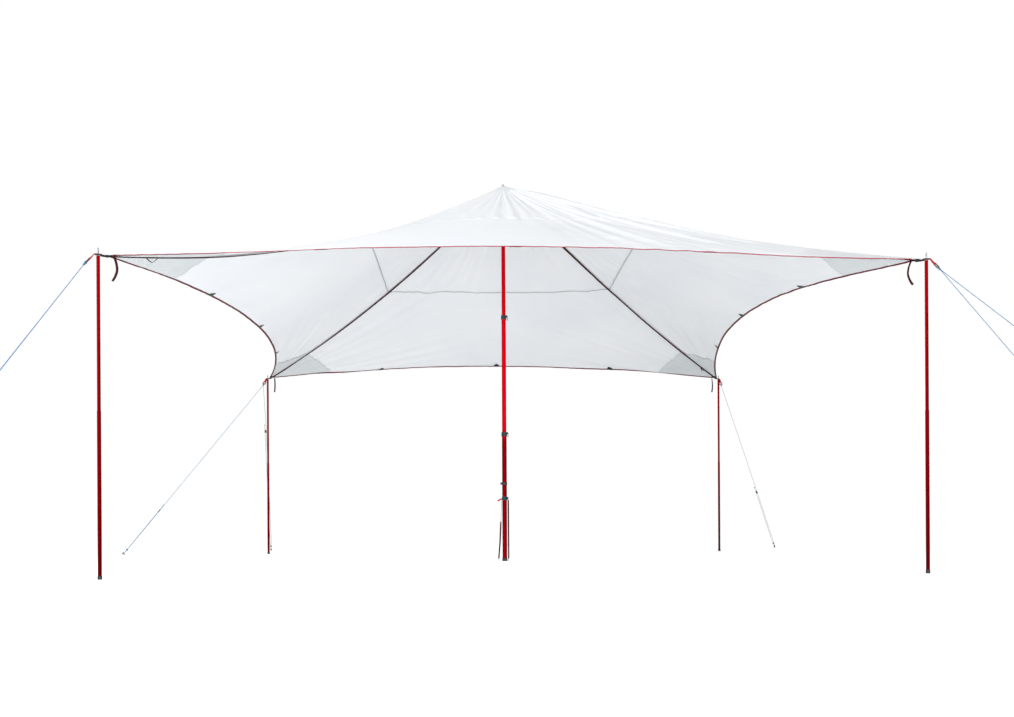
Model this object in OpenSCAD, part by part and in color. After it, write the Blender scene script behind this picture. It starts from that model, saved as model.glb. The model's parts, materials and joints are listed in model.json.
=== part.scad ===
/* [Canopy] */
// Distance between the axes of neighbouring corner poles
pole_spacing = 4750; // [4400:10:5000]
// Height of the fabric at its four corners
corner_h = 1835; // [1700:5:1950]
// Height of the fabric at the peak
peak_h = 3050; // [2900:10:3150]
// Inward bow of each hem at its middle
hem_bow = 380; // [300:1:480]
// Rise of the front hem at its middle
front_rise = 170; // [40:1:220]
// Rise of the right hem at its middle
right_rise = 165; // [40:1:220]
// Rise of the back hem at its middle
back_rise = 66; // [40:1:220]
// Rise of the left hem at its middle
left_rise = 62; // [40:1:220]
// Sag of the ridge to the front left corner at its middle
sag_front_left = 185; // [40:1:200]
// Sag of the ridge to the front right corner at its middle
sag_front_right = 80; // [40:1:200]
// Sag of the ridge to the back right corner at its middle
sag_back_right = 65; // [40:1:200]
// Sag of the ridge to the back left corner at its middle
sag_back_left = 110; // [40:1:200]
// Sag of each panel's centre line at its middle
panel_sag = 38; // [0:1:60]
// Distance from the axis to the sewn edge of the cap
cap_reach = 1010; // [800:10:1200]
// Thickness of the fabric sheet
fabric_t = 1.5; // [1:0.1:2]
// Length of a corner patch along the ridge
patch_ridge = 670; // [400:10:800]
// Length of a corner patch along the hem
patch_hem = 650; // [400:10:750]

/* [Centre pole] */
// Outer radius of the lowest tube
centre_r = 19; // [17:0.5:20]
// Height of the top end of the lowest tube
lower_top = 1030; // [950:10:1100]
// Height of the top end of the middle tube
middle_top = 1980; // [1900:10:2050]
// Height of the top end of the highest tube
upper_top = 3028; // [3000:1:3030]
// Height of the tether band
tether_h = 510; // [400:10:600]

/* [Corner poles] */
// Outer radius of the lower tube
corner_r = 11.1; // [10:0.1:13]
// Height of the top end of the lower tube
corner_split = 950; // [850:10:1000]
// Length of tube that stays inside the next one
tube_overlap = 100; // [60:5:120]
// Radius of the pin that goes through each corner grommet
pin_r = 4; // [3:0.1:4.2]

/* [Guylines] */
// Radius of the cord
cord_r = 2; // [1:0.1:2.2]
// Spacing of the two strands below a tensioner
strand_gap = 14; // [13:1:18]
// Length of a stake below the ground
stake_depth = 200; // [150:10:250]
// Lean of a stake away from the shelter, in degrees
stake_lean = 30; // [15:1:35]

/* [Hidden] */

$fn = 48;

// Colours
cloth_white = [0.93, 0.94, 0.95];
patch_grey = [0.80, 0.82, 0.82];
tape_maroon = [0.25, 0.05, 0.07];
webbing_red = [0.72, 0.07, 0.13];
webbing_black = [0.07, 0.06, 0.07];
tube_red = [0.72, 0.02, 0.07];
clip_teal = [0.08, 0.25, 0.28];
plastic_black = [0.06, 0.06, 0.06];
steel_grey = [0.50, 0.53, 0.55];
cord_blue = [0.28, 0.48, 0.66];
tab_olive = [0.12, 0.18, 0.08];

// Corners, anticlockwise from the front left, as signs of x and y
CORNERS = [[-1, -1], [1, -1], [1, 1], [-1, 1]];
front_left = 0;
front_right = 1;
back_right = 2;
back_left = 3;

// One row per guyline: corner, reach of its stake from the pole, place of its tensioner
GUYS = [
    [front_left, [-1450, 0], 0.65],
    [front_left, [-950, -850], 0.65],
    [front_right, [1600, 0], 0.60],
    [front_right, [1700, -850], 0.60],
    [back_right, [1000, 1300], 0.63],
    [back_left, [-1480, 0], 0.74],
    [back_left, [-200, 1150], 0.25]
];

// Fabric layout
corner_gap = 20;
fab_half = pole_spacing / 2 - corner_gap;
seam_gap = 0.5;
layer_gap = 1.2;
peak_hole = 17;
binding_w = 14;
binding_t = 1;
binding_gap = 1.2;
tape_half = 10;
tape_drop = 2 * fabric_t + 3 * layer_gap;

function unit(v) = v / norm(v);

// Distance from the axis to the hem of a side, at v along that side from -1 to 1
function hem_reach(v) = fab_half - hem_bow * (1 - v * v);

// Point of a side panel: u runs from the peak to the hem, v along the hem
function side_point(u, v, shape, inset = 0) = [
    v * (u * fab_half - inset),
    -u * hem_reach(v),
    side_z(u, v, shape)
];

// Share of a hem's rise at a place along it
function rise_share(v) = pow(max(0, 1 - v * v), 1.25);

// Height of a side panel; shape is [rise of its hem, sag of its two ridges]
function side_z(u, v, shape) =
    peak_h + u * (corner_h + shape[0] * rise_share(v) - peak_h)
    - 4 * u * (1 - u) * (panel_sag + (shape[v < 0 ? 1 : 2] - panel_sag) * v * v);

// Place along the hem of the ray with slope k = sideways / outward
function ray_v(k) =
    k < 0.0001 ? k * (fab_half - hem_bow) / fab_half
    : (fab_half - sqrt(fab_half * fab_half - 4 * k * k * hem_bow * (fab_half - hem_bow)))
      / (2 * k * hem_bow);

// Side whose panel covers a point of the plan: 0 front, 1 right, 2 back, 3 left
function side_of(x, y) = abs(y) >= abs(x) ? (y < 0 ? 0 : 2) : (x > 0 ? 1 : 3);

// Place along the outward and the hem direction of a side
function along_side(x, y, side) = [[-y, x], [x, y], [y, -x], [-x, -y]][side];

// Height of the fabric above any point of the plan
function canopy_z(x, y) =
    let (side = side_of(x, y), p = along_side(x, y, side))
    let (v = sign(p.y) * ray_v(abs(p.y) / p.x))
    side_z(p.x / hem_reach(v), v, side_shape(side));

RISES = [front_rise, right_rise, back_rise, left_rise];
SAGS = [sag_front_left, sag_front_right, sag_back_right, sag_back_left];

function side_shape(side) = [RISES[side], SAGS[side], SAGS[(side + 1) % 4]];

// Share of the way to the hem at which the cap ends
function seam_u(v) = cap_reach / hem_reach(v);

// Closed sheet of thickness t hanging below a grid of points
module sheet(grid, t) {
    rows = len(grid);
    cols = len(grid[0]);
    top = [for (row = grid) for (p = row) p];
    base = len(top);
    bottom = [for (p = top) p - [0, 0, t]];
    cells = [for (i = [0:rows - 2]) for (j = [0:cols - 2]) i * cols + j];
    top_faces = [
        for (a = cells)
        for (f = [[a, a + cols, a + 1], [a + 1, a + cols, a + cols + 1]]) f
    ];
    bottom_faces = [for (f = top_faces) [f[2] + base, f[1] + base, f[0] + base]];
    rim = concat(
        [for (j = [0:cols - 2]) j],
        [for (i = [0:rows - 2]) i * cols + cols - 1],
        [for (j = [cols - 1:-1:1]) (rows - 1) * cols + j],
        [for (i = [rows - 1:-1:1]) i * cols]
    );
    rim_faces = [
        for (k = [0:len(rim) - 1])
        let (a = rim[k], b = rim[(k + 1) % len(rim)])
        for (f = [[a, b, a + base], [b, b + base, a + base]]) f
    ];
    polyhedron(points = concat(top, bottom), faces = concat(top_faces, bottom_faces, rim_faces));
}

// Solid skin over a row of equal closed outlines; cap lists the faces that close each end
module loft(rings, cap) {
    count = len(rings[0]);
    last = len(rings) - 1;
    skin = [
        for (i = [0:last - 1])
        for (j = [0:count - 1])
        let (a = i * count + j, b = i * count + (j + 1) % count)
        for (f = [[a, a + count, b], [b, a + count, b + count]]) f
    ];
    last_cap = [for (f = cap) [for (k = [len(f) - 1:-1:0]) last * count + f[k]]];
    polyhedron(points = [for (r = rings) for (p = r) p], faces = concat(skin, cap, last_cap));
}

// Round bar between two points
module rod(a, b, r) {
    d = b - a;
    translate(a)
    rotate([0, acos(d.z / norm(d)), atan2(d.y, d.x)])
    cylinder(h = norm(d), r = r);
}

// Steep flat strap from a high point to a low one, its broad face to the front
module strap(high, low, w, t) {
    loft([
        for (p = [high, low])
        [for (e = [[-1, -1], [-1, 1], [1, 1], [1, -1]]) p + [e.x * w / 2, e.y * t / 2, 0]]
    ], [[0, 1, 2, 3]]);
}

module ring(mean_r, wire_r) {
    rotate_extrude($fn = 24)
    translate([mean_r, 0])
    circle(r = wire_r, $fn = 16);
}

module tube(outer, inner, from, to) {
    translate([0, 0, from])
    difference() {
        cylinder(h = to - from, r = outer);
        translate([0, 0, -1])
        cylinder(h = to - from + 2, r = inner);
    }
}

/* ---- Fabric ---- */

half_cols = 8;
lower_rows = 8;
cap_rows = 6;

// Grid point of a lower panel: row 0 is at the seam, the last row at the hem
function panel_point(row, v, shape) =
    let (from = seam_u(v) + seam_gap / fab_half)
    side_point(from + (1 - from) * row / lower_rows, v, shape, seam_gap);

// The same between two grid columns, where the panel is straight
function panel_between(row, v, shape) =
    let (k = min(floor(v * half_cols), half_cols - 1), w = v * half_cols - k)
    (1 - w) * panel_point(row, k / half_cols, shape)
    + w * panel_point(row, (k + 1) / half_cols, shape);

module lower_panel(side) {
    grid = [
        for (i = [0:lower_rows])
        [for (j = [-half_cols:half_cols]) panel_point(i, j / half_cols, side_shape(side))]
    ];
    color(cloth_white)
    rotate([0, 0, 90 * side])
    translate([0, 0, fabric_t / 2])
    sheet(grid, fabric_t);
}

module cap_panels() {
    for (side = [0:3]) {
        grid = [
            for (i = [0:cap_rows])
            [
                for (j = [-half_cols:2:half_cols])
                let (v = j / half_cols)
                let (from = peak_hole / hem_reach(v), to = seam_u(v) - seam_gap / fab_half)
                side_point(from + (to - from) * i / cap_rows, v, side_shape(side), seam_gap)
            ]
        ];
        color(cloth_white)
        rotate([0, 0, 90 * side])
        translate([0, 0, fabric_t / 2])
        sheet(grid, fabric_t);
    }
}

// Half a corner patch, on one side of the ridge; hand is 1 or -1 along the hem
module half_patch(side, hand) {
    steps = 6;
    inset = binding_w + 3;
    along_ridge = patch_ridge / (sqrt(2) * fab_half);
    along_hem = patch_hem / fab_half;
    near = 0.14;
    edge_u = 1 - inset / (fab_half - hem_bow);
    grid = [
        for (i = [0:steps])
        let (a = near + (1 - near) * i / steps)
        let (r = side_point(1 - a * along_ridge, hand, side_shape(side), 2 * seam_gap))
        let (h = side_point(edge_u, hand * (1 - a * along_hem), side_shape(side)))
        [
            for (j = [0:steps])
            let (b = j / steps)
            let (p = r * (1 - b) + h * b)
            let (q = p + [0, 12 * a * 4 * b * (1 - b), 0])
            let (v = sign(q.x) * ray_v(abs(q.x) / -q.y))
            [q.x, q.y, side_z(-q.y / hem_reach(v), v, side_shape(side)) - layer_gap]
        ]
    ];
    ordered = hand > 0 ? grid : [for (row = grid) [for (j = [steps:-1:0]) row[j]]];
    rotate([0, 0, 90 * side])
    translate([0, 0, -fabric_t / 2])
    sheet(ordered, fabric_t);
}

module corner_patches() {
    color(patch_grey)
    for (side = [0:3])
    for (hand = [-1, 1])
    half_patch(side, hand);
}

// One tape under each ridge, folded along the ridge line
module ridge_tapes() {
    steps = 14;
    start = 45;
    end = fab_half - 45;
    half_xy = tape_half / sqrt(2);
    color(tape_maroon)
    for (c = CORNERS) {
        grid = [
            for (i = [0:steps])
            let (s = start + (end - start) * i / steps)
            [
                for (j = [-1, 0, 1])
                let (x = c.x * (s + j * half_xy), y = c.y * (s - j * half_xy))
                [x, y, canopy_z(x, y) - tape_drop]
            ]
        ];
        ordered = c.x * c.y < 0 ? grid : [for (row = grid) [row[2], row[1], row[0]]];
        sheet(ordered, fabric_t);
    }
}

// Binding folded over the edge of each hem
module hem_bindings() {
    reach_v = 0.965;
    near = fabric_t / 2 + binding_gap;
    far = near + binding_t;
    profile = [
        [-binding_w, far], [0.5 + binding_t, far], [0.5 + binding_t, -far], [-binding_w, -far],
        [-binding_w, -near], [0.5, -near], [0.5, near], [-binding_w, near]
    ];
    fold_cap = [[0, 1, 6, 7], [1, 2, 5, 6], [2, 3, 4, 5]];
    color(webbing_red)
    for (side = [0:3])
    rotate([0, 0, 90 * side])
    loft([
        for (i = [-half_cols:half_cols])
        let (v = max(-reach_v, min(reach_v, i / half_cols)))
        let (p = panel_between(lower_rows, v, side_shape(side)))
        let (inner = panel_between(lower_rows - 1, v, side_shape(side)))
        let (inward = (inner - p) / (inner.y - p.y))
        [for (q = profile) p - q.x * inward + [0, 0, q.y]]
    ], fold_cap);
}

// Triangular reinforcement tabs at the quarters of each hem
module edge_tabs() {
    tab_w = 84;
    tab_d = 42;
    drop = fabric_t / 2 + binding_gap + binding_t + 1.6;
    color(tab_olive)
    for (side = [0:3])
    for (v = [-0.5, 0, 0.5]) {
        p = side_point(1, v, side_shape(side));
        inner = side_point(0.98, v, side_shape(side));
        slope = atan((inner.z - p.z) / (inner.y - p.y));
        swing = atan(-2 * hem_bow * v / fab_half);
        next = side_point(1, v + 0.01, side_shape(side));
        rise_turn = -atan((next.z - p.z) / (next.x - p.x));
        rotate([0, 0, 90 * side])
        translate(p - [0, 0, drop])
        rotate([slope, rise_turn, swing])
        translate([0, 0, -fabric_t])
        linear_extrude(fabric_t)
        polygon([[-tab_w / 2, 1], [tab_w / 2, 1], [7, tab_d], [-7, tab_d]]);
    }
}

// Reinforcement over the fabric around the peak
module peak_patch() {
    from = peak_hole + 1;
    to = 130;
    turns = 32;
    rings = [
        for (k = [0:turns - 1])
        let (a = 360 * k / turns)
        [
            for (p = [[from, 0], [to, 0], [to, 1], [from, 1]])
            let (x = p.x * cos(a), y = p.x * sin(a))
            [x, y, canopy_z(x, y) + fabric_t / 2 + 2 + p.y]
        ]
    ];
    count = 4;
    faces = [
        for (i = [0:turns - 1])
        for (j = [0:count - 1])
        let (n = (i + 1) % turns, a = i * count + j, b = i * count + (j + 1) % count)
        let (c = n * count + j, d = n * count + (j + 1) % count)
        for (f = [[a, b, c], [b, d, c]]) f
    ];
    color(cloth_white)
    polyhedron(points = [for (r = rings) for (p = r) p], faces = faces);
}

/* ---- Peak and corner hardware ---- */

grommet_flange = 0.8;

// Eyelet: a barrel with a flange at each end
module grommet(bore_r, barrel_r, flange_r, h) {
    difference() {
        union() {
            cylinder(h = h, r = barrel_r);
            cylinder(h = grommet_flange, r = flange_r);
            translate([0, 0, h - grommet_flange])
            cylinder(h = grommet_flange, r = flange_r);
        }
        translate([0, 0, -1])
        cylinder(h = h + 2, r = bore_r);
    }
}

module peak_grommet() {
    color(steel_grey)
    translate([0, 0, peak_h - 7])
    grommet(6, 10, 15.5, 5);
}

tab_t = 2.5;
tab_z = corner_h - 7;
tab_hole = 8;
hinge_z = tab_z + 1;
strap_w = 25;
strap_t = 2;
strap_z = tab_z + tab_t + 1.5;
strap_slope = 50;
bend_x = 20;
strap_run = 44;
strap_inboard = 20;
bar_r = 2.2;
lock_l = 26;
lock_w = 36;
knot_r = 7;
loop_r = 6;
cord_side = 3.2;
knot_run = lock_l + loop_r + knot_r;

function corner_xy(c) = CORNERS[c] * pole_spacing / 2;

// Horizontal direction in which the guylines of a corner pull together
function pull_dir(c) = unit(
    [for (g = GUYS) g[0] == c ? 1 : 0] * [for (g = GUYS) unit(g[1])]
);

function pull_angle(c) = atan2(pull_dir(c).y, pull_dir(c).x);

// Place on the sloping line that leaves the strap's bend, run millimetres below it
function slope_point(run) = [
    bend_x + run * cos(strap_slope),
    0,
    strap_z + strap_t / 2 - run * sin(strap_slope)
];

// The knot of a corner, where its guylines meet
function knot(c) =
    let (p = slope_point(strap_run + knot_run))
    concat(corner_xy(c) + p.x * pull_dir(c), p.z);

module at_corner(c) {
    translate(concat(corner_xy(c), 0))
    rotate([0, 0, pull_angle(c)])
    children();
}

// Triangle of webbing under the tip of the fabric, folded along the ridge
module corner_triangle(c) {
    reach = 78;
    inset = 3;
    v = 1 - reach / fab_half;
    tip = c * (fab_half - inset);
    points = [
        tip,
        [c.x * v * fab_half, c.y * (hem_reach(v) - inset)],
        c * (v * fab_half + hem_reach(v) - inset) / 2,
        [c.x * (hem_reach(v) - inset), c.y * v * fab_half]
    ];
    turn = c.x * c.y > 0 ? [0, 3, 2, 1] : [0, 1, 2, 3];
    top = [
        for (k = turn)
        [points[k].x, points[k].y, canopy_z(points[k].x, points[k].y) - fabric_t / 2 - layer_gap]
    ];
    polyhedron(
        points = concat(top, [for (p = top) p - [0, 0, fabric_t]]),
        faces = [
            [0, 1, 2], [0, 2, 3], [4, 6, 5], [4, 7, 6],
            [0, 4, 5, 1], [1, 5, 6, 2], [2, 6, 7, 3], [3, 7, 4, 0]
        ]
    );
}

// Stiff webbing that carries the grommet, and the triangle it is sewn to
module corner_tabs() {
    tab_l = 64;
    tab_r = 17.5;
    color(webbing_black)
    for (c = CORNERS) {
        corner_triangle(c);
        translate([c.x * pole_spacing / 2, c.y * pole_spacing / 2, tab_z])
        rotate([0, 0, atan2(-c.y, -c.x)])
        linear_extrude(tab_t)
        difference() {
            union() {
                translate([0, -tab_r])
                square([tab_l, 2 * tab_r]);
                circle(r = tab_r);
            }
            circle(r = tab_hole);
        }
    }
}

module corner_grommets() {
    color(steel_grey)
    for (c = CORNERS)
    translate([c.x * pole_spacing / 2, c.y * pole_spacing / 2, tab_z - grommet_flange - 0.1])
    grommet(5.6, tab_hole - 0.1, 12, tab_t + 2 * grommet_flange + 0.2);
}

// Red webbing over the pole's pin, turned down to hold a ladder lock
module corner_straps() {
    half_t = strap_t / 2;
    mid_z = strap_z + half_t;
    mitre = half_t * tan(strap_slope / 2);
    down = [cos(strap_slope), -sin(strap_slope)];
    square_to = [sin(strap_slope), cos(strap_slope)];
    eye = [bend_x, mid_z] + strap_run * down;
    side_view = [
        [-strap_inboard, mid_z - half_t], [bend_x - mitre, mid_z - half_t],
        eye - half_t * square_to, eye + half_t * square_to,
        [bend_x + mitre, mid_z + half_t], [-strap_inboard, mid_z + half_t]
    ];
    color(webbing_red)
    for (c = [0:3])
    at_corner(c)
    difference() {
        rotate([90, 0, 0])
        linear_extrude(strap_w, center = true)
        difference() {
            union() {
                polygon(side_view);
                translate(eye)
                circle(r = bar_r + 2.4);
            }
            translate(eye)
            circle(r = bar_r + 0.3);
        }
        translate([0, 0, strap_z - 1])
        cylinder(h = strap_t + 2, r = 6);
    }
}

module ladder_locks() {
    color(plastic_black)
    for (c = [0:3])
    at_corner(c)
    translate(slope_point(strap_run))
    rotate([0, strap_slope, 0]) {
        for (x = [0, lock_l / 2, lock_l])
        translate([x, 0, 0])
        rotate([90, 0, 0])
        cylinder(h = lock_w - 2, r = bar_r, center = true);
        for (y = [-1, 1])
        translate([-4, y * (lock_w / 2 - 2.2) - 2.2, -2.5])
        cube([lock_l + 8, 4.4, 5]);
    }
}

// Loose ends of webbing that hang inboard of each corner, and two hanging loops
module webbing_tails() {
    tail = [14, 2, 140];
    color(tape_maroon) {
        for (c = CORNERS)
        translate([c.x * (pole_spacing / 2 - 76), c.y * (pole_spacing / 2 - 22), tab_z - 4])
        translate([-tail.x / 2, -tail.y / 2, -tail.z])
        cube(tail);
        for (c = [front_left, back_right])
        hanging_loop(c);
    }
}

// Shallow loop of webbing under a ridge
module hanging_loop(c) {
    half_l = 40;
    drop = 28;
    half_w = 6;
    thick = 1.5;
    gap = tape_drop + fabric_t + layer_gap;
    steps = 4;
    p = corner_xy(c) - CORNERS[c] * 230;
    along = CORNERS[c] / sqrt(2);
    cross = [-along.y, along.x];
    loft([
        for (k = [-steps:steps])
        let (t = k / steps, mid = p + t * half_l * along)
        [
            for (e = [[1, 0], [-1, 0], [-1, -1], [1, -1]])
            let (q = mid + e.x * half_w * cross)
            [q.x, q.y, canopy_z(q.x, q.y) - gap - drop * (1 - t * t) + e.y * thick]
        ]
    ], [[0, 1, 2, 3]]);
}

/* ---- Guylines, tensioners and stakes ---- */

stake_r = 3.5;
loop_h = 18;
tail_l = 60;
tensioner_l = 30;

function stake_az(g) = atan2(GUYS[g][1].y, GUYS[g][1].x);

function stake_axis(g) = [
    sin(stake_lean) * cos(stake_az(g)),
    sin(stake_lean) * sin(stake_az(g)),
    cos(stake_lean)
];

function stake_ground(g) = concat(corner_xy(GUYS[g][0]) + GUYS[g][1], 0);

// The cords of one corner leave its knot side by side, each towards its own stake
function guy_start(g) =
    let (pull = pull_dir(GUYS[g][0]))
    let (hand = sign(pull.x * GUYS[g][1].y - pull.y * GUYS[g][1].x))
    knot(GUYS[g][0]) + hand * cord_side * [-pull.y, pull.x, 0]
    + (knot_r + cord_r) * unit(guy_end(g) - knot(GUYS[g][0]));

function guy_end(g) = stake_ground(g) + loop_h * stake_axis(g);

function guy_dir(g) = unit(guy_end(g) - guy_start(g));

// Half the spacing of the strands, level and square to the guyline
function guy_side(g) = unit([-guy_dir(g).y, guy_dir(g).x, 0]) * strand_gap / 2;

function grip_point(g) =
    guy_start(g) + guy_dir(g) * GUYS[g][2] * norm(guy_end(g) - guy_start(g));

module guyline(g) {
    upper = grip_point(g) - tail_l * guy_dir(g);
    side = guy_side(g);
    turn = guy_end(g) + 8 * guy_dir(g);
    path = [guy_start(g), upper - side, turn - side, turn + side, upper + side];
    for (k = [0:len(path) - 2])
    rod(path[k], path[k + 1], cord_r);
    for (k = [1:len(path) - 2])
    translate(path[k])
    sphere(r = cord_r + 0.5, $fn = 16);
}

module guylines() {
    color(cord_blue) {
        for (g = [0:len(GUYS) - 1])
        guyline(g);
        for (c = [0:3]) {
            translate(knot(c))
            sphere(r = knot_r, $fn = 24);
            at_corner(c)
            translate(slope_point(strap_run + lock_l))
            rotate([90, 0, 0])
            ring(loop_r, cord_r);
        }
    }
}

// Grip with one bore for each strand
module tensioner(g) {
    color(webbing_red)
    translate(grip_point(g))
    rotate([0, acos(guy_dir(g).z), atan2(guy_dir(g).y, guy_dir(g).x)])
    difference() {
        union() {
            translate([-3.5, -strand_gap / 2, 0])
            cube([7, strand_gap, tensioner_l]);
            for (y = [-1, 1])
            translate([0, y * strand_gap / 2, 0])
            cylinder(h = tensioner_l, r = 3.5);
        }
        for (y = [-1, 1])
        translate([0, y * strand_gap / 2, -1])
        cylinder(h = tensioner_l + 2, r = cord_r + 0.1);
    }
}

// Steel peg with a flat head and a hook that keeps the cord down
module stake(g) {
    tip_l = 20;
    head_z = 26;
    color(plastic_black)
    translate(stake_ground(g))
    rotate([0, stake_lean, stake_az(g)]) {
        translate([0, 0, tip_l - stake_depth])
        cylinder(h = stake_depth - tip_l + head_z, r = stake_r);
        translate([0, 0, -stake_depth])
        cylinder(h = tip_l, r1 = 0.6, r2 = stake_r);
        translate([0, 0, head_z])
        cylinder(h = 5, r = 8);
        translate([0, -4, head_z])
        cube([14, 8, 5]);
        translate([11, -4, head_z - 14])
        cube([3, 8, 16]);
    }
}

/* ---- Corner poles ---- */

wall = 1.2;
slide_gap = 0.1;
corner_upper_r = corner_r - wall - slide_gap;
corner_upper_top = tab_z - 6;
foot_floor = 5;

module corner_pole_upper(c) {
    color(tube_red)
    translate(concat(corner_xy(c), 0))
    tube(corner_upper_r, corner_upper_r - wall, corner_split - tube_overlap, corner_upper_top);
}

// Outer tube, with a cross hole above its foot
module corner_pole_lower(c) {
    hole_z = 90;
    hole_r = 3.5;
    color(tube_red)
    translate(concat(corner_xy(c), 0))
    difference() {
        tube(corner_r, corner_r - wall, foot_floor, corner_split);
        translate([0, 0, hole_z])
        rotate([90, 0, 90])
        cylinder(h = 3 * corner_r, r = hole_r, center = true);
    }
}

module corner_pole_foot(c) {
    cap_h = 22;
    color(plastic_black)
    translate(concat(corner_xy(c), 0))
    pole_foot(corner_r, 1.9, cap_h);
}

// Cap with a chamfered tread, open at the top for the tube
module pole_foot(tube_r, skin, h) {
    rotate_extrude()
    polygon([
        [0, 0], [tube_r + skin - 2, 0], [tube_r + skin, 2], [tube_r + skin, h - 1],
        [tube_r + skin - 1, h], [tube_r + 0.05, h], [tube_r + 0.05, foot_floor - 0.05],
        [0, foot_floor - 0.05]
    ]);
}

// Plug in the top of the tube, with the pin that goes through the grommet
module corner_pole_tip(c) {
    pin_top = tab_z + 42;
    shoulder_top = tab_z + 10;
    shoulder_r = pin_r + 0.6;
    color(steel_grey)
    translate(concat(corner_xy(c), 0))
    rotate_extrude()
    polygon([
        [0, corner_upper_top - 30], [corner_upper_r - wall - 0.05, corner_upper_top - 30],
        [corner_upper_r - wall - 0.05, corner_upper_top + 0.05],
        [corner_upper_r - 0.5, corner_upper_top + 0.05],
        [corner_upper_r - 1.5, corner_upper_top + 1.5],
        [shoulder_r, corner_upper_top + 1.5], [shoulder_r, shoulder_top],
        [pin_r, shoulder_top], [pin_r, pin_top - 6],
        [1.2, pin_top], [0, pin_top]
    ]);
}

/* ---- Centre pole ---- */

centre_wall = 1.5;
middle_r = centre_r - centre_wall - slide_gap;
upper_r = middle_r - centre_wall - slide_gap;

module centre_pole_lower() {
    color(tube_red)
    tube(centre_r, centre_r - centre_wall, foot_floor, lower_top);
}

module centre_pole_middle() {
    color(tube_red)
    tube(middle_r, middle_r - centre_wall, lower_top - tube_overlap, middle_top);
}

module centre_pole_upper() {
    color(tube_red)
    tube(upper_r, upper_r - centre_wall, middle_top - tube_overlap, upper_top);
}

module centre_pole_foot() {
    color(plastic_black)
    pole_foot(centre_r, 2.4, 24);
}

module centre_pole_tip() {
    tip_pin_r = 5;
    pin_top = peak_h + 16;
    plug_r = upper_r - centre_wall - 0.05;
    color(steel_grey)
    rotate_extrude()
    polygon([
        [0, upper_top - 40], [plug_r, upper_top - 40], [plug_r, upper_top + 0.05],
        [upper_r - 0.5, upper_top + 0.05], [upper_r - 4, upper_top + 8],
        [tip_pin_r, upper_top + 8], [tip_pin_r, pin_top - 7], [1.5, pin_top], [0, pin_top]
    ]);
}

/* ---- Clamps of the centre pole ---- */

collar_below = 16;
collar_above = 17;
collar_wall = 4;
hinge_r = 2;
hinge_rise = 9;
ear_t = 3;
ear_gap = 13;
hub_r = 5;

// Distance from the pole's axis to the lever's pin
function lock_pivot_x(tube_r) = tube_r + collar_wall + hub_r + 0.5;

// Collar gripping the outer tube, with two ears and the lever's pin
module lock_collar(tube_r, inner_r, top) {
    pivot = lock_pivot_x(tube_r);
    color(clip_teal)
    translate([0, 0, top]) {
        difference() {
            union() {
                translate([0, 0, -collar_below])
                cylinder(h = collar_below + collar_above, r = tube_r + collar_wall);
                for (y = [-1, 1])
                translate([0, y * (ear_gap + ear_t) / 2 - ear_t / 2, 2])
                cube([pivot + 4, ear_t, 14]);
            }
            translate([0, 0, -collar_below - 1])
            cylinder(h = collar_below + 1.05, r = tube_r + 0.05);
            cylinder(h = collar_above + 1, r = inner_r + slide_gap);
        }
        translate([pivot, 0, hinge_rise])
        rotate([90, 0, 0])
        cylinder(h = ear_gap + 0.2, r = hinge_r, center = true);
    }
}

// Cam lever that lies down against its collar when it is locked
module lock_lever(tube_r, top) {
    pivot = lock_pivot_x(tube_r);
    arm_l = 34;
    arm_w = 12;
    arm_t = 4;
    thumb_w = 17;
    color(clip_teal)
    translate([pivot, 0, top + hinge_rise])
    difference() {
        union() {
            rotate([90, 0, 0])
            cylinder(h = arm_w, r = hub_r, center = true);
            translate([0.5, -arm_w / 2, -arm_l])
            cube([arm_t, arm_w, arm_l]);
            translate([0.5, -thumb_w / 2, -arm_l])
            cube([arm_t, thumb_w, 18]);
        }
        rotate([90, 0, 0])
        cylinder(h = 20, r = hinge_r + 0.05, center = true);
    }
}

/* ---- Tether at the foot of the centre pole ---- */

band_t = 2.4;
band_h = 26;
left_peg = [-50, -10];
right_peg = [31, 6];
peg_r = 3;
peg_ring_z = 22;
peg_ring_r = 7;

// Top of the front of the ring round a peg
function ring_front(peg) = [peg.x, peg.y - peg_ring_r, peg_ring_z + 1.9];

module tether_band() {
    color(clip_teal)
    tube(centre_r + 0.05 + band_t, centre_r + 0.05, tether_h - band_h / 2, tether_h + band_h / 2);
}

// Side-release buckle on the band, and the cord clip higher up the tube
module tether_buckles() {
    clip_h = 630;
    color(plastic_black) {
        translate([centre_r + band_t + 0.4, -11, tether_h - 12])
        cube([9, 22, 24]);
        translate([0, 0, clip_h - 9])
        difference() {
            union() {
                cylinder(h = 18, r = centre_r + 3);
                translate([-centre_r - 14, -6, 0])
                cube([14, 12, 18]);
            }
            translate([0, 0, -1])
            cylinder(h = 20, r = centre_r + 0.05);
        }
    }
}

// Two legs that tie the pole's foot down: cord above webbing, and webbing alone
module tether_straps() {
    side_x = centre_r + band_t + 1.2;
    joint_h = 300;
    left_top = [-side_x - 2, 0, tether_h + 8];
    left_joint = [-32, ring_front(left_peg).y, joint_h];
    right_top = [side_x + 7, 0, tether_h - 16];
    color(tape_maroon) {
        rod(left_top, left_joint, 2);
        strap(left_joint, ring_front(left_peg), 12, 2);
        strap(right_top, ring_front(right_peg), 12, 2);
        for (p = [left_peg, right_peg])
        translate([p.x, p.y, peg_ring_z])
        ring(peg_ring_r, 1.5);
        translate([-side_x - 32, -1, tether_h - 14])
        cube([30, 2, 10]);
    }
}

module tether_pegs() {
    peg_depth = 150;
    color(steel_grey)
    for (p = [left_peg, right_peg])
    translate([p.x, p.y, 0]) {
        translate([0, 0, 15 - peg_depth])
        cylinder(h = peg_depth + 20, r = peg_r);
        translate([0, 0, -peg_depth])
        cylinder(h = 15, r1 = 0.6, r2 = peg_r);
        translate([0, 0, 34])
        cylinder(h = 4, r = 4.8);
    }
}

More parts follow.
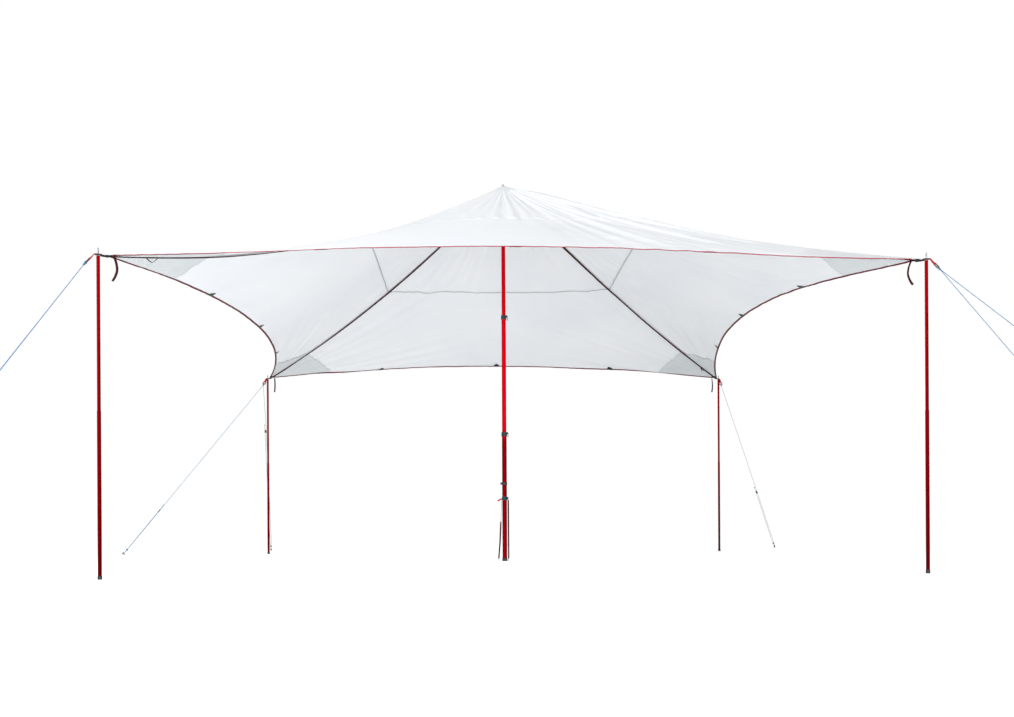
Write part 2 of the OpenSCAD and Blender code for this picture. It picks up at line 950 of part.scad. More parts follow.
lower_panel(0);  // lower_panel_front
lower_panel(1);  // lower_panel_right
lower_panel(2);  // lower_panel_back
lower_panel(3);  // lower_panel_left
cap_panels();
corner_patches();
ridge_tapes();
hem_bindings();
edge_tabs();
peak_patch();
peak_grommet();
corner_tabs();
corner_grommets();
corner_straps();
ladder_locks();
webbing_tails();
guylines();
centre_pole_lower();
centre_pole_middle();
centre_pole_upper();
centre_pole_foot();
centre_pole_tip();
lock_collar(centre_r, middle_r, lower_top);  // lower_lock_collar
lock_collar(middle_r, upper_r, middle_top);  // upper_lock_collar
lock_lever(centre_r, lower_top);  // lower_lock_lever
lock_lever(middle_r, middle_top);  // upper_lock_lever
tether_band();
tether_buckles();
tether_straps();
tether_pegs();
corner_pole_upper(front_left);  // corner_pole_upper_front_left
corner_pole_upper(front_right);  // corner_pole_upper_front_right
corner_pole_upper(back_right);  // corner_pole_upper_back_right
corner_pole_upper(back_left);  // corner_pole_upper_back_left
corner_pole_lower(front_left);  // corner_pole_lower_front_left
corner_pole_lower(front_right);  // corner_pole_lower_front_right
corner_pole_lower(back_right);  // corner_pole_lower_back_right
corner_pole_lower(back_left);  // corner_pole_lower_back_left
corner_pole_foot(front_left);  // corner_pole_foot_front_left
corner_pole_foot(front_right);  // corner_pole_foot_front_right
corner_pole_foot(back_right);  // corner_pole_foot_back_right
corner_pole_foot(back_left);  // corner_pole_foot_back_left
corner_pole_tip(front_left);  // corner_pole_tip_front_left
corner_pole_tip(front_right);  // corner_pole_tip_front_right
corner_pole_tip(back_right);  // corner_pole_tip_back_right
corner_pole_tip(back_left);  // corner_pole_tip_back_left
tensioner(0);  // tensioner_front_left_side
tensioner(1);  // tensioner_front_left_front
tensioner(2);  // tensioner_front_right_side
tensioner(3);  // tensioner_front_right_front
tensioner(4);  // tensioner_back_right
tensioner(5);  // tensioner_back_left_side
tensioner(6);  // tensioner_back_left_back
stake(0);  // stake_front_left_side
stake(1);  // stake_front_left_front
stake(2);  // stake_front_right_side
stake(3);  // stake_front_right_front
stake(4);  // stake_back_right
stake(5);  // stake_back_left_side
stake(6);  // stake_back_left_back
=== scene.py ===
"""Tarp shelter: the looks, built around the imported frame. All lengths are in metres."""
import json
import math

import bmesh
import bpy
from mathutils import Matrix, Vector, noise


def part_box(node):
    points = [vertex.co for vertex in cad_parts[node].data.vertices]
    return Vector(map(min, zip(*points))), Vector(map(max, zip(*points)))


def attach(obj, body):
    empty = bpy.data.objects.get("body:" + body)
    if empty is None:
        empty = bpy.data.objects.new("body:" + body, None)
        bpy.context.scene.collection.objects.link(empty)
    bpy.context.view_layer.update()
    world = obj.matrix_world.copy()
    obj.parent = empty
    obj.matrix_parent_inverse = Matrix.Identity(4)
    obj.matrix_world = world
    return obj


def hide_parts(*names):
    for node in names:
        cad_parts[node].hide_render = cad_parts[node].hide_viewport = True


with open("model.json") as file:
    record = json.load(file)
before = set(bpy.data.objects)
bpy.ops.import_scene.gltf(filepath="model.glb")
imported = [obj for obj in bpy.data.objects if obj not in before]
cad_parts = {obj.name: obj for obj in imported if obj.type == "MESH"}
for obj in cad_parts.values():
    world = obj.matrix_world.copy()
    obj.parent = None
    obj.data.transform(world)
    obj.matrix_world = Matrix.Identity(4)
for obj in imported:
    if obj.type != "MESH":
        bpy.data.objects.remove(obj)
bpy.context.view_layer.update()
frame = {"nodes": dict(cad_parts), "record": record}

# ---------------------------------------------------------------- sizes

CORNERS = {
    "front_left": (-1, -1),
    "front_right": (1, -1),
    "back_right": (1, 1),
    "back_left": (-1, 1),
}
SIDES = ["front", "right", "back", "left"]


def box_centre(node):
    low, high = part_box(node)
    return (Vector(low) + Vector(high)) / 2


POLE_AT = abs(box_centre("corner_pole_upper_front_right").x)
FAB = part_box("lower_panel_right")[1].x  # reach of the fabric's corners
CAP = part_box("cap_panels")[1].x  # reach of the cap's seam
CORNER_Z = 1.835
PEAK_Z = 3.050
HEM_BOW = 0.380
HEM_RISES = [0.170, 0.165, 0.066, 0.062]  # front, right, back, left
RIDGE_SAGS = [0.185, 0.080, 0.065, 0.110]  # in the order of CORNERS
PANEL_SAG = 0.038
PEAK_HOLE = 0.017

CLOTH_T = 0.0007
BINDING_W = 0.013
TAPE_W = 0.020
PATCH_RIDGE = 0.670
PATCH_HEM = 0.650
PEAK_PATCH_T = 0.0009
EXACT = 0.00001  # joins only points that coincide


def smooth(x):
    x = min(1.0, max(0.0, x))
    return x * x * (3 - 2 * x)


# ---------------------------------------------------------------- canopy surface


def hem_reach(v):
    return FAB - HEM_BOW * (1 - v * v)


def side_of(x, y):
    """Index into SIDES of the panel that covers a point of the plan."""
    if abs(y) >= abs(x):
        return 0 if y < 0 else 2
    return 1 if x > 0 else 3


def base_z(u, v, side):
    rise = HEM_RISES[side] * max(0.0, 1 - v * v) ** 1.25
    straight = PEAK_Z + u * (CORNER_Z + rise - PEAK_Z)
    ridge = RIDGE_SAGS[side if v < 0 else (side + 1) % 4]
    return straight - 4 * u * (1 - u) * (PANEL_SAG + (ridge - PANEL_SAG) * v * v)


def to_uv(x, y, side):
    """Share of the way to the hem, and place along it, for a point of the plan."""
    out, along = plan_to_side(x, y, side)
    k = along / max(out, 1e-9)
    k = max(-1.2, min(1.2, k))
    if abs(k) < 1e-4:
        v = k * (FAB - HEM_BOW) / FAB
    else:
        root = FAB * FAB - 4 * k * k * HEM_BOW * (FAB - HEM_BOW)
        v = (FAB - math.sqrt(max(root, 0.0))) / (2 * k * HEM_BOW)
    return out / hem_reach(v), v


def plan_to_side(x, y, side):
    return [(-y, x), (x, y), (y, -x), (-x, -y)][side]


def side_to_plan(out, along, side):
    return [(along, -out), (out, along), (-along, out), (-out, -along)][side]


def corner_fan(x, y):
    """Tension folds that run out from each corner of the fabric, calmer at the front."""
    dx, dy = FAB - abs(x), FAB - abs(y)
    rho = math.hypot(dx, dy)
    phi = math.atan2(dy, dx) - math.pi / 4
    seed = 11 * (2 + (x > 0) + 2 * (y > 0))
    fade = smooth(min(abs(x), abs(y)) / 0.7) * smooth((rho - 0.1) / 0.7)
    broad = noise.noise(Vector((phi * 6.5, rho * 0.3, seed)))
    fine = noise.noise(Vector((phi * 21, rho * 0.5, seed + 5)))
    depth = 0.036 if y > 0 else 0.010
    return fade * (0.020 * math.exp(-rho) * broad + depth * rho * math.exp(-rho / 1.25) * fine)


def wrinkle(x, y, side):
    u, v = to_uv(x, y, side)
    out, along = plan_to_side(x, y, side)
    r = math.hypot(x, y)
    lift = corner_fan(x, y)
    inner = smooth(r / 0.25)
    lift += inner * 0.006 * noise.noise(Vector((x * 0.8, y * 0.8, 7.3)))
    lift += inner * 0.002 * noise.noise(Vector((x * 2.4 + 9, y * 2.4, 3.1)))
    # gathers along the cap seam, strongest in the front panel
    from_seam = out - CAP
    gather = 0.020 if side == 0 and from_seam < 0 else 0.006
    reach = 0.13 if from_seam < 0 else 0.045
    lift += (
        gather
        * noise.noise(Vector((along * 17, side * 7.7, from_seam * 2.5)))
        * (0.35 + smooth(1.4 * noise.noise(Vector((along * 2.1, side * 5.1, 4.4))) + 0.4))
        * math.exp(-abs(from_seam) / reach)
    )
    # creases fanning from the peak, deepest beside the tight front right ridge
    angle = math.atan2(y, x)
    fan = noise.noise(Vector((angle * 19, r * 0.5, 5.3)))
    lift += 0.030 * fan * min(r, 0.5) * smooth((1.5 - r) / 1.2)
    off_ridge = (angle + math.pi / 4) / 0.36
    if abs(off_ridge) < 3:
        fold = 1 - 2.4 * abs(noise.noise(Vector((angle * 17, r * 0.35, 2.6))))
        reach = smooth(r / 0.5) * smooth((2.8 - r) / 1.6)
        lift += 0.036 * fold * reach * math.exp(-off_ridge * off_ridge)
    # puckers along the hem
    from_hem = (1 - u) * hem_reach(v)
    lift += 0.0022 * noise.noise(Vector((along * 22, side * 3.3, 1.7))) * math.exp(-from_hem / 0.05)
    return lift


def surface(u, v, side):
    """Point of the fabric's middle layer."""
    x, y = side_to_plan(u * hem_reach(v), u * v * FAB, side)
    return Vector((x, y, base_z(u, v, side) + wrinkle(x, y, side)))


def over(x, y, side=None):
    """Point of the fabric above a point of the plan."""
    side = side_of(x, y) if side is None else side
    u, v = to_uv(x, y, side)
    return Vector((x, y, base_z(u, v, side) + wrinkle(x, y, side)))


def surface_normal(x, y, side):
    e = 0.01
    p = over(x, y, side)
    a = over(x + e, y, side) - p
    b = over(x, y + e, side) - p
    return a.cross(b).normalized()


# ---------------------------------------------------------------- mesh helpers

MATERIALS = {}


def new_object(name, verts, faces, uvs=None, material=None, shade=True):
    mesh = bpy.data.meshes.new(name)
    mesh.from_pydata([tuple(v) for v in verts], [], faces)
    if uvs:
        layer = mesh.uv_layers.new(name="metres")
        for loop in mesh.loops:
            layer.data[loop.index].uv = uvs[loop.vertex_index]
    if shade:
        mesh.shade_smooth()
    mesh.update()
    obj = bpy.data.objects.new(name, mesh)
    bpy.context.scene.collection.objects.link(obj)
    if material:
        obj.data.materials.append(MATERIALS[material])
    return obj


def finish_piece(obj, body, replaces=()):
    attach(obj, body)
    if replaces:
        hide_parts(*replaces)
    return obj


class Parts:
    """Gathers several shells into one mesh."""

    def __init__(self):
        self.verts, self.faces, self.uvs = [], [], []

    def add(self, verts, faces, uvs=None):
        base = len(self.verts)
        self.verts += [Vector(v) for v in verts]
        self.faces += [tuple(i + base for i in f) for f in faces]
        self.uvs += list(uvs) if uvs else [(0.0, 0.0)] * len(verts)

    def build(self, name, material, shade=True):
        return new_object(name, self.verts, self.faces, self.uvs, material, shade)


def sweep(parts, rings, loop=False):
    """Skin over equal closed outlines; UV is (distance along, distance round)."""
    n = len(rings[0])
    verts, faces, uvs = [], [], []
    along = 0.0
    for i, ring in enumerate(rings):
        if i:
            along += (sum(ring, Vector()) / n - sum(rings[i - 1], Vector()) / n).length
        around = 0.0
        for j, p in enumerate(ring):
            verts.append(p)
            uvs.append((along, around))
            around += (ring[(j + 1) % n] - p).length
    last = len(rings) if loop else len(rings) - 1
    for i in range(last):
        k = (i + 1) % len(rings)
        for j in range(n):
            m = (j + 1) % n
            faces.append((i * n + j, i * n + m, k * n + m, k * n + j))
    if not loop:
        faces.append(tuple(range(n - 1, -1, -1)))
        faces.append(tuple((len(rings) - 1) * n + j for j in range(n)))
    parts.add(verts, faces, uvs)


def grid_faces(rows, cols):
    """Quads of a grid of points laid out row by row."""
    n = cols + 1
    return [
        (i * n + j, i * n + j + 1, (i + 1) * n + j + 1, (i + 1) * n + j)
        for i in range(rows) for j in range(cols)
    ]


def thicken(obj, thickness):
    """Gives a sheet its thickness, half to each side."""
    solid = obj.modifiers.new("thickness", "SOLIDIFY")
    solid.thickness = thickness
    solid.offset = 0


def tangent(path, i):
    return (path[min(i + 1, len(path) - 1)] - path[max(i - 1, 0)]).normalized()


def frames_along(path, up):
    """Tangent, side and up vectors at each point of a path."""
    out = []
    for i in range(len(path)):
        t = tangent(path, i)
        ref = up[i] if isinstance(up, list) else up
        side = t.cross(ref)
        if side.length < 1e-6:
            side = t.orthogonal()
        side.normalize()
        out.append((t, side, side.cross(t).normalized()))
    return out


def cord(parts, path, radius, sides=8, up=Vector((0, 0, 1)), loop=False):
    rings = []
    for p, (_, side, high) in zip(path, frames_along(path, up)):
        rings.append([
            p + radius * (math.cos(a) * side + math.sin(a) * high)
            for a in (2 * math.pi * k / sides for k in range(sides))
        ])
    sweep(parts, rings, loop=loop)


def ribbon(parts, path, up, width, thick, edge=0.0006):
    """Flat strap with rounded edges; up is the strap's normal along the path."""
    rings = []
    half, t = width / 2, thick / 2
    outline = [
        (-half, -t * 0.3), (-half + edge, -t), (0, -t), (half - edge, -t), (half, -t * 0.3),
        (half, t * 0.3), (half - edge, t), (0, t), (-half + edge, t), (-half, t * 0.3),
    ]
    for p, (_, side, high) in zip(path, frames_along(path, up)):
        rings.append([p + a * side + b * high for a, b in outline])
    sweep(parts, rings)


def spline(points, steps):
    """Smooth path through a few points (Catmull-Rom)."""
    pts = [Vector(p) for p in points]
    pts = [pts[0] * 2 - pts[1]] + pts + [pts[-1] * 2 - pts[-2]]
    path = []
    for i in range(1, len(pts) - 2):
        a, b, c, d = pts[i - 1:i + 3]
        for k in range(steps):
            t = k / steps
            path.append(0.5 * (
                2 * b + (c - a) * t + (2 * a - 5 * b + 4 * c - d) * t * t
                + (3 * b - a - 3 * c + d) * t ** 3
            ))
    path.append(pts[-2])
    return path


# ---------------------------------------------------------------- materials


class Nodes:
    """Small helper that builds a material's node tree."""

    def __init__(self, name):
        self.mat = bpy.data.materials.new(name)
        self.mat.use_nodes = True
        self.tree = self.mat.node_tree
        self.tree.nodes.clear()
        self.out = self.tree.nodes.new("ShaderNodeOutputMaterial")
        self.bsdf = self.node("ShaderNodeBsdfPrincipled")
        self.tree.links.new(self.bsdf.outputs[0], self.out.inputs[0])
        MATERIALS[name] = self.mat

    def node(self, kind, **settings):
        n = self.tree.nodes.new(kind)
        for key, value in settings.items():
            setattr(n, key, value)
        return n

    def plug(self, value, socket):
        if isinstance(value, bpy.types.NodeSocket):
            self.tree.links.new(value, socket)
        else:
            socket.default_value = value

    def math(self, op, a, b=0.0, c=0.0):
        n = self.node("ShaderNodeMath", operation=op)
        for value, socket in zip((a, b, c), n.inputs):
            self.plug(value, socket)
        return n.outputs[0]

    def coords(self, kind="Object"):
        return self.node("ShaderNodeTexCoord").outputs[kind]

    def xyz(self, vector):
        n = self.node("ShaderNodeSeparateXYZ")
        self.plug(vector, n.inputs[0])
        return n.outputs

    def scaled(self, vector, scale):
        n = self.node("ShaderNodeMapping")
        self.plug(vector, n.inputs["Vector"])
        n.inputs["Scale"].default_value = scale
        return n.outputs[0]

    def noise(self, vector, scale, detail=3.0, rough=0.55):
        n = self.node("ShaderNodeTexNoise")
        self.plug(vector, n.inputs["Vector"])
        n.inputs["Scale"].default_value = scale
        n.inputs["Detail"].default_value = detail
        n.inputs["Roughness"].default_value = rough
        return n.outputs[0]

    def mix(self, factor, a, b):
        n = self.node("ShaderNodeMix", data_type="RGBA")
        self.plug(factor, n.inputs[0])
        self.plug(a if isinstance(a, bpy.types.NodeSocket) else (*a, 1), n.inputs[6])
        self.plug(b if isinstance(b, bpy.types.NodeSocket) else (*b, 1), n.inputs[7])
        return n.outputs[2]

    def ramp(self, value, low, high):
        n = self.node("ShaderNodeMapRange", clamp=True)
        self.plug(value, n.inputs[0])
        n.inputs[1].default_value = low
        n.inputs[2].default_value = high
        return n.outputs[0]

    def bump(self, height, distance, strength=1.0, normal=None):
        n = self.node("ShaderNodeBump")
        n.inputs["Strength"].default_value = strength
        n.inputs["Distance"].default_value = distance
        self.plug(height, n.inputs["Height"])
        if normal is not None:
            self.plug(normal, n.inputs["Normal"])
        return n.outputs[0]

    def set(self, **inputs):
        names = {
            "color": "Base Color", "rough": "Roughness", "metal": "Metallic",
            "normal": "Normal", "sheen": "Sheen Weight", "specular": "Specular IOR Level",
        }
        for key, value in inputs.items():
            socket = self.bsdf.inputs[names[key]]
            if key == "color" and not isinstance(value, bpy.types.NodeSocket):
                value = (*value, 1)
            self.plug(value, socket)


def srgb(r, g, b):
    """8-bit display colour to the linear values that shaders take."""
    def one(c):
        c /= 255
        return c / 12.92 if c <= 0.04045 else ((c + 0.055) / 1.055) ** 2.4
    return (one(r), one(g), one(b))


def threads(m, uv, pitch):
    """Plain weave: warp and weft threads of the given pitch, as a height from 0 to 1."""
    x, y, _ = m.xyz(uv)
    warp = m.math("SINE", m.math("MULTIPLY", x, 2 * math.pi / pitch))
    weft = m.math("SINE", m.math("MULTIPLY", y, 2 * math.pi / pitch))
    return m.math("MULTIPLY_ADD", m.math("MULTIPLY", warp, weft), 0.5, 0.5)


def cloth_material(name, colour, shade, through):
    """Thin woven polyester that lets some light through."""
    m = Nodes(name)
    uv = m.coords("UV")
    place = m.coords("Object")
    weave = threads(m, uv, 0.0011)
    cloudy = m.noise(place, 1.3, 4)
    slub = m.noise(m.scaled(uv, (900, 40, 1)), 1.0, 2)
    tint = m.mix(m.ramp(cloudy, 0.35, 0.7), shade, colour)
    tint = m.mix(m.math("MULTIPLY", m.ramp(slub, 0.45, 0.8), 0.12), tint, shade)
    creases = m.noise(m.scaled(place, (9, 9, 3)), 1.0, 5, 0.62)
    normal = m.bump(creases, 0.006, 0.35)
    normal = m.bump(weave, 0.0002, 0.5, normal)
    m.set(color=tint, rough=0.62, normal=normal, sheen=0.15, specular=0.25)
    glow = m.node("ShaderNodeBsdfTranslucent")
    m.plug(tint, glow.inputs[0])
    m.plug(normal, glow.inputs["Normal"])
    both = m.node("ShaderNodeMixShader")
    both.inputs[0].default_value = through
    m.tree.links.new(m.bsdf.outputs[0], both.inputs[1])
    m.tree.links.new(glow.outputs[0], both.inputs[2])
    m.tree.links.new(both.outputs[0], m.out.inputs[0])
    return m


def webbing_material(name, colour, dark, width, stitch=None, under=None):
    """Ribbed webbing with a row of stitches along each edge; under, when given, is painted shade: a darker
    colour for the faces that point down.
    """
    m = Nodes(name)
    uv = m.coords("UV")
    x, y, _ = m.xyz(uv)
    ribs = m.math("SINE", m.math("MULTIPLY", m.math("ADD", x, m.math("MULTIPLY", y, 0.6)), 4200.0))
    ribs = m.math("MULTIPLY_ADD", ribs, 0.5, 0.5)
    wear = m.noise(m.coords("Object"), 35, 4)
    tint = m.mix(m.math("MULTIPLY", ribs, 0.55), colour, dark)
    tint = m.mix(m.math("MULTIPLY", m.ramp(wear, 0.5, 0.75), 0.35), tint, dark)
    height = ribs
    if stitch:
        thread = m.math("PINGPONG", y, width / 2)
        row = m.math("COMPARE", thread, width * 0.14, 0.0006)
        dash = m.math("LESS_THAN", m.math("FRACT", m.math("DIVIDE", x, 0.006)), 0.62)
        mask = m.math("MULTIPLY", row, dash)
        tint = m.mix(mask, tint, stitch)
        height = m.math("ADD", ribs, m.math("MULTIPLY", mask, 2.0))
    # painted shade: faces whose normal points down take the under colour
    if under:
        down = m.xyz(m.node("ShaderNodeNewGeometry").outputs["Normal"])[2]
        tint = m.mix(m.ramp(down, -0.2, -0.5), tint, m.mix(m.math("MULTIPLY", ribs, 0.4), under, dark))
    m.set(color=tint, rough=0.78, normal=m.bump(height, 0.0004, 0.8), specular=0.2)
    return m


def tube_material(name, lit_colour, shaded_colour, lit_above_z, shaded_below_z):
    """Anodised tube with fine draw lines and random scuffs. Its colour holds painted shade: darker at the
    edges that turn from view, and darker downwards, from the lit colour at the upper height to the shaded
    colour at the lower one.
    """
    m = Nodes(name)
    place = m.coords("Object")
    z = m.xyz(place)[2]
    lines = m.noise(m.scaled(place, (900, 900, 6)), 1.0, 2)
    scuffs = m.noise(m.scaled(place, (60, 60, 9)), 1.0, 5, 0.7)
    # painted shade: the colour darkens downwards between the two heights
    low = m.ramp(z, lit_above_z, shaded_below_z)
    # painted shade: edges that turn away from the view are mixed towards a dark red
    facing = m.node("ShaderNodeLayerWeight").outputs["Facing"]
    tint = m.mix(low, lit_colour, shaded_colour)
    tint = m.mix(m.math("MULTIPLY", m.ramp(facing, 0.25, 0.95), 0.6), tint, srgb(70, 0, 3))
    tint = m.mix(m.math("MULTIPLY", m.ramp(scuffs, 0.62, 0.74), 0.4), tint, srgb(90, 6, 12))
    rough = m.math("MULTIPLY_ADD", scuffs, 0.25, 0.30)
    m.set(color=tint, rough=rough, metal=0.25, normal=m.bump(lines, 0.0002, 0.25), specular=0.10)
    m.bsdf.inputs["Specular Tint"].default_value = (0.35, 0.02, 0.03, 1)
    return m


def plastic_material(name, colour, worn, rough):
    """Moulded plastic with a fine spark-eroded grain and rubbed high spots."""
    m = Nodes(name)
    place = m.coords("Object")
    grain = m.noise(place, 1800, 2)
    patchy = m.noise(place, 60, 4)
    tint = m.mix(m.math("MULTIPLY", m.ramp(patchy, 0.5, 0.75), 0.5), colour, worn)
    m.set(
        color=tint,
        rough=m.math("MULTIPLY_ADD", patchy, 0.2, rough),
        normal=m.bump(grain, 0.0002, 0.35),
    )
    return m


def metal_material(name, colour, rough, stretch):
    """Plated or painted steel with streaks along its length and dull spots."""
    m = Nodes(name)
    place = m.coords("Object")
    streaks = m.noise(m.scaled(place, stretch), 1.0, 3)
    spots = m.noise(place, 220, 4, 0.65)
    dull = tuple(c * 0.55 for c in colour)
    tint = m.mix(m.math("MULTIPLY", m.ramp(spots, 0.55, 0.72), 0.5), colour, dull)
    m.set(
        color=tint,
        metal=0.9,
        rough=m.math("MULTIPLY_ADD", streaks, 0.3, rough),
        normal=m.bump(streaks, 0.0002, 0.3),
    )
    return m


def cord_material(name, colour, fleck):
    """Braided cord: two crossing sets of strands with a lighter tracer."""
    m = Nodes(name)
    x, y, _ = m.xyz(m.coords("UV"))
    turn = 2 * math.pi / 0.0094
    one = m.math("SINE", m.math("MULTIPLY", m.math("ADD", x, m.math("MULTIPLY", y, 2.0)), 3 * turn))
    two = m.math("SINE", m.math("MULTIPLY", m.math("SUBTRACT", x, m.math("MULTIPLY", y, 2.0)), 3 * turn))
    braid = m.math("MULTIPLY_ADD", m.math("MULTIPLY", one, two), 0.5, 0.5)
    tracer = m.math("GREATER_THAN", one, 0.82)
    tint = m.mix(m.math("MULTIPLY", braid, 0.5), colour, tuple(c * 0.45 for c in colour))
    tint = m.mix(m.math("MULTIPLY", tracer, 0.8), tint, fleck)
    m.set(color=tint, rough=0.7, normal=m.bump(braid, 0.0005, 0.9), sheen=0.2)
    return m


WHITE, WHITE_SHADE = srgb(245, 247, 249), srgb(239, 242, 245)
cloth_material("canopy_cloth", WHITE, WHITE_SHADE, 0.24)
cloth_material("thread_white", srgb(236, 238, 239), srgb(222, 225, 227), 0.2)
cloth_material("patch_grey", srgb(212, 217, 219), srgb(203, 209, 211), 0.06)
cloth_material("seam_cloth", srgb(206, 211, 214), srgb(190, 196, 200), 0.3)
webbing_material("tape_maroon", srgb(58, 6, 14), srgb(22, 2, 6), TAPE_W, srgb(104, 24, 34))
webbing_material("webbing_red", srgb(204, 22, 44), srgb(120, 8, 22), 0.025, srgb(230, 90, 100))
# binding_red: its last colour is painted shade for the binding's downward faces
webbing_material(
    "binding_red", srgb(196, 36, 66), srgb(120, 16, 40), BINDING_W, srgb(230, 120, 140), srgb(84, 40, 46)
)
webbing_material("webbing_black", srgb(18, 14, 16), srgb(6, 5, 6), 0.038, srgb(70, 66, 68))
webbing_material("webbing_teal", srgb(26, 78, 88), srgb(10, 38, 44), 0.026, srgb(90, 140, 150))
cloth_material("tab_olive", srgb(22, 38, 18), srgb(12, 22, 9), 0.02)
# one red tube in two copies with painted light: the centre pole's copy is painted lighter, lit above 1.10 m
# and shaded below 0.95 m; the corner poles' copy is painted darker and shades down to the ground
tube_material("tube_red", srgb(140, 0, 5), srgb(84, 0, 2), 1.9, 0.0)
tube_material("tube_red_centre_painted_light", srgb(207, 2, 18), srgb(131, 0, 7), 1.10, 0.95)
plastic_material("plastic_black", srgb(30, 30, 32), srgb(66, 66, 68), 0.42)
plastic_material("plastic_teal", srgb(10, 40, 47), srgb(24, 62, 70), 0.45)
plastic_material("plastic_red", srgb(96, 10, 24), srgb(140, 40, 50), 0.3)
metal_material("steel", srgb(150, 158, 162), 0.22, (300, 300, 20))
metal_material("steel_dark", srgb(58, 60, 60), 0.4, (300, 300, 30))
cord_material("cord_blue", srgb(40, 104, 158), srgb(150, 190, 220))
cord_material("cord_sage", srgb(112, 142, 134), srgb(186, 200, 180))
cord_material("cord_beige", srgb(176, 168, 128), srgb(214, 206, 170))

NODE_MATERIAL = {
    "peak_grommet": "steel",
    "corner_grommets": "steel",
    "centre_pole_tip": "steel",
    "corner_pole_tip": "steel",
    "tether_pegs": "steel",
    "centre_pole_foot": "plastic_black",
    "corner_pole_foot": "plastic_black",
    "ladder_locks": "plastic_black",
    "tether_buckles": "plastic_black",
    "centre_pole": "tube_red_centre_painted_light",
    "corner_pole": "tube_red",
    "lower_lock": "plastic_teal",
    "upper_lock": "plastic_teal",
    "tensioner": "plastic_red",
    "stake": "steel_dark",
    "tether_band": "webbing_teal",
}


def dress_cad_nodes():
    """Gives each CAD node that stays in view its finished material."""
    for name, obj in frame["nodes"].items():
        keys = [k for k in NODE_MATERIAL if name.startswith(k)]
        if not keys:
            continue
        material = MATERIALS[NODE_MATERIAL[max(keys, key=len)]]
        obj.data.materials.clear()
        obj.data.materials.append(material)


# ---------------------------------------------------------------- canopy pieces


def weld(obj, distance=0.0002):
    """Joins the points of neighbouring shells and turns the faces outward."""
    bm = bmesh.new()
    bm.from_mesh(obj.data)
    bmesh.ops.remove_doubles(bm, verts=bm.verts, dist=distance)
    bmesh.ops.recalc_face_normals(bm, faces=bm.faces)
    bm.to_mesh(obj.data)
    bm.free()


def canopy_sheet(name, u_from, u_to, rows, cols, lift, replaces):
    """One continuous sheet over all four sides."""
    parts = Parts()
    for side in range(4):
        verts, uvs = [], []
        for i in range(rows + 1):
            for j in range(cols + 1):
                v = 2 * j / cols - 1
                start, end = u_from(v), u_to(v)
                u = start + (end - start) * i / rows
                p = surface(u, v, side)
                p.z += lift(u * hem_reach(v))
                verts.append(p)
                uvs.append((p.x, p.y))
        parts.add(verts, grid_faces(rows, cols), uvs)
    obj = parts.build(name, "canopy_cloth")
    weld(obj)
    thicken(obj, CLOTH_T)
    finish_piece(obj, "canopy", replaces)


SEAM_LAP = 0.012


def cap_lift(out):
    """The cap's edge rides over the lower panels at the seam."""
    return 0.0011 * smooth((out - CAP + 0.03) / 0.02)


def build_canopy():
    canopy_sheet(
        "canopy_lower",
        lambda v: CAP / hem_reach(v), lambda v: 1.0, 84, 150, lambda out: 0.0,
        ["lower_panel_" + s for s in SIDES],
    )
    canopy_sheet(
        "canopy_cap",
        lambda v: PEAK_HOLE / hem_reach(v), lambda v: (CAP + SEAM_LAP) / hem_reach(v),
        60, 110, cap_lift, ["cap_panels"],
    )


def hang(x, y, drop, side=None):
    """Point a given distance below the fabric."""
    p = over(x, y, side)
    return p - Vector((0, 0, drop))


def build_seams():
    """Felled seam allowances under the cap seam, and stitch rows above it."""
    parts = Parts()
    steps = 120
    for side in range(4):
        path, ups = [], []
        for i in range(steps + 1):
            along = CAP * (2 * i / steps - 1) * 0.995
            x, y = side_to_plan(CAP + 0.004, along, side)
            path.append(hang(x, y, 0.0014, side))
            ups.append(surface_normal(x, y, side))
        ribbon(parts, path, ups, 0.011, 0.0007, 0.0004)
    finish_piece(parts.build("cap_seam_tape", "seam_cloth"), "canopy")

    for row, offset in (("upper", 0.002), ("lower", 0.008)):
        parts = Parts()
        for side in range(4):
            stitches = int(2 * CAP / 0.009)
            for i in range(stitches):
                along = CAP * (2 * (i + 0.5) / stitches - 1)
                ends = []
                for end in (-0.0028, 0.0028):
                    x, y = side_to_plan(CAP + offset, along + end, side)
                    ends.append(hang(x, y, -0.0018, side))
                cord(parts, ends, 0.0004, 5)
        obj = parts.build("cap_seam_stitches_" + row, "thread_white")
        finish_piece(obj, "canopy")


def build_patches():
    steps = 48
    for name, (sx, sy) in CORNERS.items():
        parts = Parts()
        for side in (side_of(sx * 2, sy), side_of(sx, sy * 2)):
            hand = 1 if plan_to_side(sx, sy, side)[1] > 0 else -1
            verts, uvs = [], []
            for i in range(steps + 1):
                a = 0.10 + 0.90 * i / steps
                ridge = FAB - a * PATCH_RIDGE / math.sqrt(2)
                v_hem = 1 - a * PATCH_HEM / FAB
                out_hem, along_hem = 0.989 * hem_reach(v_hem), 0.989 * v_hem * FAB
                for j in range(steps + 1):
                    b = j / steps
                    bulge = 0.016 * a * 4 * b * (1 - b)
                    out = ridge * (1 - b) + out_hem * b - bulge
                    along = ridge * (1 - b) + along_hem * b
                    x, y = side_to_plan(out, hand * along, side)
                    drop = 0.0038 + 0.0017 * smooth((1 - b) / 0.15)
                    verts.append(hang(x, y, drop, side))
                    uvs.append((x, y))
            parts.add(verts, grid_faces(steps, steps), uvs)
        obj = parts.build("corner_patch_" + name, "patch_grey")
        weld(obj)
        thicken(obj, CLOTH_T)
        replaces = ["corner_patches"] if name == "front_left" else []
        finish_piece(obj, "canopy", replaces)


